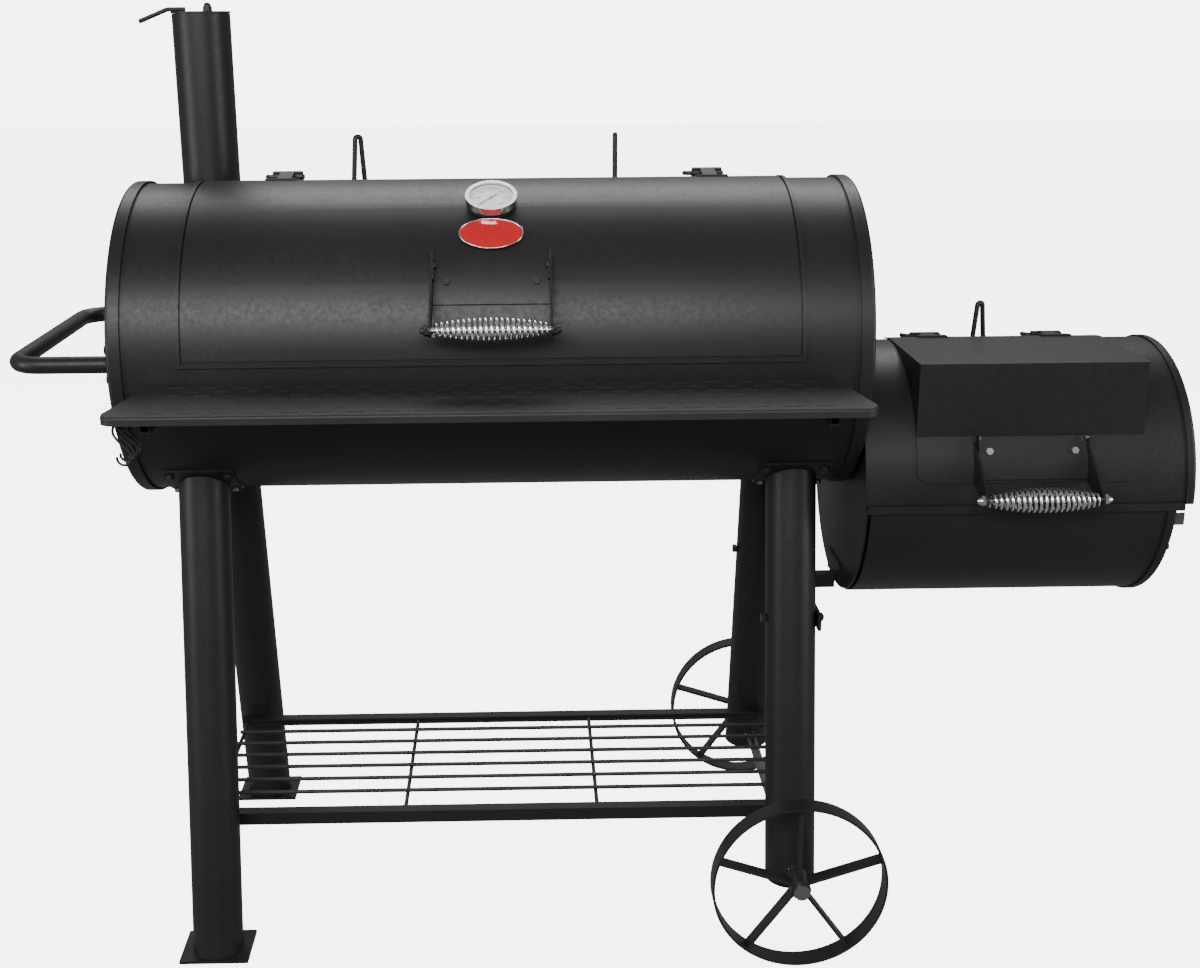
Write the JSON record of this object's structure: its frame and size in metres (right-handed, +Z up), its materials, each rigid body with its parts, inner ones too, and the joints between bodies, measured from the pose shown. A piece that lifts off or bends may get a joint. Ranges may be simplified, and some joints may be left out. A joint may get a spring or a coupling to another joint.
{
  "type": "offset smoker",
  "caption": "Offset smoker: long barrel with hinged lid and smokestack, side firebox with lid and ash drawer, splayed legs on two wheels, front shelf with hooks.",
  "frame": {"origin": "middle of the object's footprint on the floor, with every lid closed", "axes": "+X along the barrel towards the firebox, -Y to the front where the grips are, +Z up"},
  "size_m": [1.731, 0.75, 1.4166],
  "materials": {
    "black_powder_coat": "satin black powder coat on mild steel",
    "black_wire": "black coated wire",
    "grey_steel": "dark grey painted sheet",
    "black_bolt": "black oxide bolt",
    "bright_zinc": "bright zinc plate",
    "axle_steel": "drawn steel bar",
    "cast_iron": "seasoned cast iron",
    "chrome": "chrome plate",
    "dial_enamel": "white printed dial",
    "needle_paint": "black needle",
    "gauge_glass": "clear flat glass",
    "red_enamel": "red enamel plate, no lettering"
  },
  "bodies": {
    "frame": {"barrel_shell": "black_powder_coat", "left_end_cap": "black_powder_coat", "right_end_cap": "black_powder_coat", "grate_ledges": "black_powder_coat", "cooking_grates": "cast_iron", "charcoal_grate": "cast_iron", "shell_hinge_leaves": "black_powder_coat", "hinge_pins": "black_bolt", "lid_stops": "black_powder_coat", "firebox_shell": "black_powder_coat", "firebox_left_wall": "black_powder_coat", "firebox_right_cap": "black_powder_coat", "drawer_rails": "black_powder_coat", "stack_tube": "black_powder_coat", "stack_pivot_bolt": "black_bolt", "side_handle": "black_powder_coat", "left_front_leg": "black_powder_coat", "left_rear_leg": "black_powder_coat", "right_front_leg": "black_powder_coat", "right_rear_leg": "black_powder_coat", "saddle_plates": "black_powder_coat", "leg_cross_bar": "black_powder_coat", "firebox_strut": "black_powder_coat", "frame_bolts": "black_bolt", "axle": "axle_steel", "lower_front_bar": "black_powder_coat", "lower_rear_bar": "black_powder_coat", "lower_shelf_rods": "black_powder_coat", "front_shelf": "black_powder_coat", "shelf_brackets": "black_powder_coat", "hook_rail": "black_powder_coat"},
    "main_lid_body": {"main_lid": "black_powder_coat", "main_lid_hinge_leaves": "black_powder_coat", "thermometer_case": "chrome", "thermometer_dial": "dial_enamel", "thermometer_glass": "gauge_glass", "thermometer_bezel": "chrome", "badge": "red_enamel", "main_handle_ears": "black_powder_coat", "main_handle_shield": "black_powder_coat", "main_handle_rod": "axle_steel", "main_handle_grip": "chrome", "main_lid_fasteners": "black_bolt"},
    "needle_body": {"thermometer_needle": "needle_paint"},
    "firebox_lid_body": {"firebox_lid": "black_powder_coat", "firebox_lid_hinge_leaves": "black_powder_coat", "firebox_handle_ears": "black_powder_coat", "firebox_handle_shield": "black_powder_coat", "firebox_handle_rod": "axle_steel", "firebox_handle_grip": "chrome", "firebox_lid_fasteners": "bright_zinc"},
    "drawer_body": {"ash_drawer": "black_powder_coat"},
    "shutter_body": {"air_shutter": "grey_steel"},
    "flap_body": {"stack_flap": "black_powder_coat"},
    "front_wheel_body": {"front_wheel": "black_powder_coat"},
    "rear_wheel_body": {"rear_wheel": "black_powder_coat"},
    "hook_1_body": {"s_hook_1": "black_wire"},
    "hook_2_body": {"s_hook_2": "black_wire"},
    "hook_3_body": {"s_hook_3": "black_wire"},
    "hook_4_body": {"s_hook_4": "black_wire"}
  },
  "joints": [
    {"name": "main_lid_hinge", "type": "hinge", "parent": "frame", "child": "main_lid_body", "pos_m": [-0.1685, 0.12251, 1.15192], "axis": [-1, 0, 0], "range_deg": [0, 94]},
    {"name": "thermometer_needle_turn", "type": "hinge", "parent": "main_lid_body", "child": "needle_body", "pos_m": [-0.1685, -0.07798, 1.13787], "axis": [0, 0.4617, -0.887], "range_deg": [0, 270], "stiffness_Nm_per_rad": 0.002},
    {"name": "firebox_lid_hinge", "type": "hinge", "parent": "frame", "child": "firebox_lid_body", "pos_m": [0.6195, 0.105, 0.891], "axis": [-1, 0, 0], "range_deg": [0, 90]},
    {"name": "ash_drawer_slide", "type": "slide", "parent": "frame", "child": "drawer_body", "axis": [1, 0, 0], "range_m": [0, 0.38]},
    {"name": "air_shutter_slide", "type": "slide", "parent": "drawer_body", "child": "shutter_body", "axis": [0, 1, 0], "range_m": [0, 0.15]},
    {"name": "stack_flap_turn", "type": "hinge", "parent": "frame", "child": "flap_body", "pos_m": [-0.6221, 0.243, 1.4008], "axis": [0, 0, -1], "range_deg": [0, 120]},
    {"name": "front_wheel_spin", "type": "hinge", "parent": "frame", "child": "front_wheel_body", "pos_m": [0.2795, -0.272, 0.132], "axis": [0, 1, 0], "continuous": true},
    {"name": "rear_wheel_spin", "type": "hinge", "parent": "frame", "child": "rear_wheel_body", "pos_m": [0.2795, 0.346, 0.132], "axis": [0, 1, 0], "continuous": true},
    {"name": "hook_1_swing", "type": "hinge", "parent": "frame", "child": "hook_1_body", "pos_m": [-0.6575, -0.348, 0.872], "axis": [0, 1, 0], "range_deg": [-25, 25]},
    {"name": "hook_2_swing", "type": "hinge", "parent": "frame", "child": "hook_2_body", "pos_m": [-0.6575, -0.33, 0.872], "axis": [0, 1, 0], "range_deg": [-25, 25]},
    {"name": "hook_3_swing", "type": "hinge", "parent": "frame", "child": "hook_3_body", "pos_m": [-0.6575, -0.312, 0.872], "axis": [0, 1, 0], "range_deg": [-25, 25]},
    {"name": "hook_4_swing", "type": "hinge", "parent": "frame", "child": "hook_4_body", "pos_m": [-0.6575, -0.294, 0.872], "axis": [0, 1, 0], "range_deg": [-25, 25]}
  ]
}
